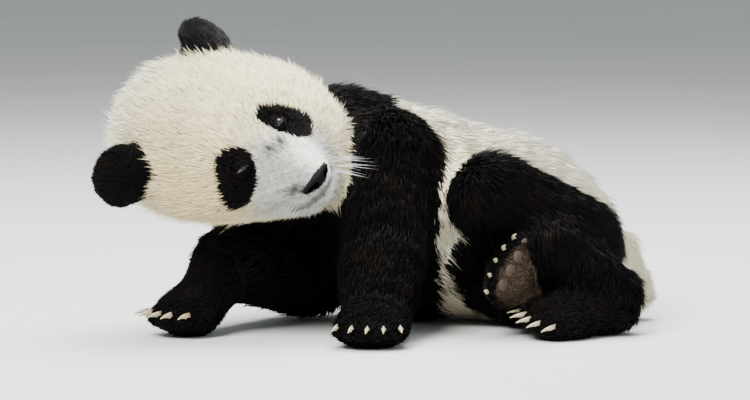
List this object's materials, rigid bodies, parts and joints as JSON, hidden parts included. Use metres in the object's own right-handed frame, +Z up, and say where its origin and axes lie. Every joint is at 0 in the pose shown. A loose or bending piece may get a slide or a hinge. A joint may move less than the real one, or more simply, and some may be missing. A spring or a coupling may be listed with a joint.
{
  "type": "giant panda",
  "caption": "Young giant panda lying on its belly, head rolled to one side on a folded forearm, hind legs tucked under.",
  "frame": {"origin": "on the floor, under the middle of the whole animal's box", "axes": "+X from the head to the rump, +Y from the panda's left side to its right, +Z up"},
  "size_m": [0.795, 0.5956, 0.4457],
  "materials": {
    "coat_cream": "long dense fur, matt, cream to white",
    "coat_black": "long dense fur, black with a faint brown tinge and a soft sheen",
    "eye": "wet, dark brown iris and black pupil",
    "nose": "pebbled, moist",
    "claw": "worn horn, paler at the tip"
  },
  "bodies": {
    "root": {"head": "coat_cream", "neck": "coat_cream", "trunk": "coat_cream", "tail": "coat_cream", "ear_left": "coat_black", "ear_right": "coat_black", "eye_left": "eye", "eye_right": "eye", "nose": "nose", "upper_arm_left": "coat_black", "forearm_left": "coat_black", "paw_left": "coat_black", "thigh_left": "coat_black", "shank_left": "coat_black", "foot_left": "coat_black", "upper_arm_right": "coat_black", "forearm_right": "coat_black", "paw_right": "coat_black", "thigh_right": "coat_black", "shank_right": "coat_black", "foot_right": "coat_black", "paw_left_claw_1": "claw", "paw_left_claw_2": "claw", "paw_left_claw_3": "claw", "paw_left_claw_4": "claw", "paw_left_claw_5": "claw", "paw_right_claw_1": "claw", "paw_right_claw_2": "claw", "paw_right_claw_3": "claw", "paw_right_claw_4": "claw", "paw_right_claw_5": "claw", "foot_left_claw_1": "claw", "foot_left_claw_2": "claw", "foot_left_claw_3": "claw", "foot_left_claw_4": "claw", "foot_left_claw_5": "claw", "foot_right_claw_1": "claw", "foot_right_claw_2": "claw", "foot_right_claw_3": "claw", "foot_right_claw_4": "claw", "foot_right_claw_5": "claw"}
  },
  "joints": []
}
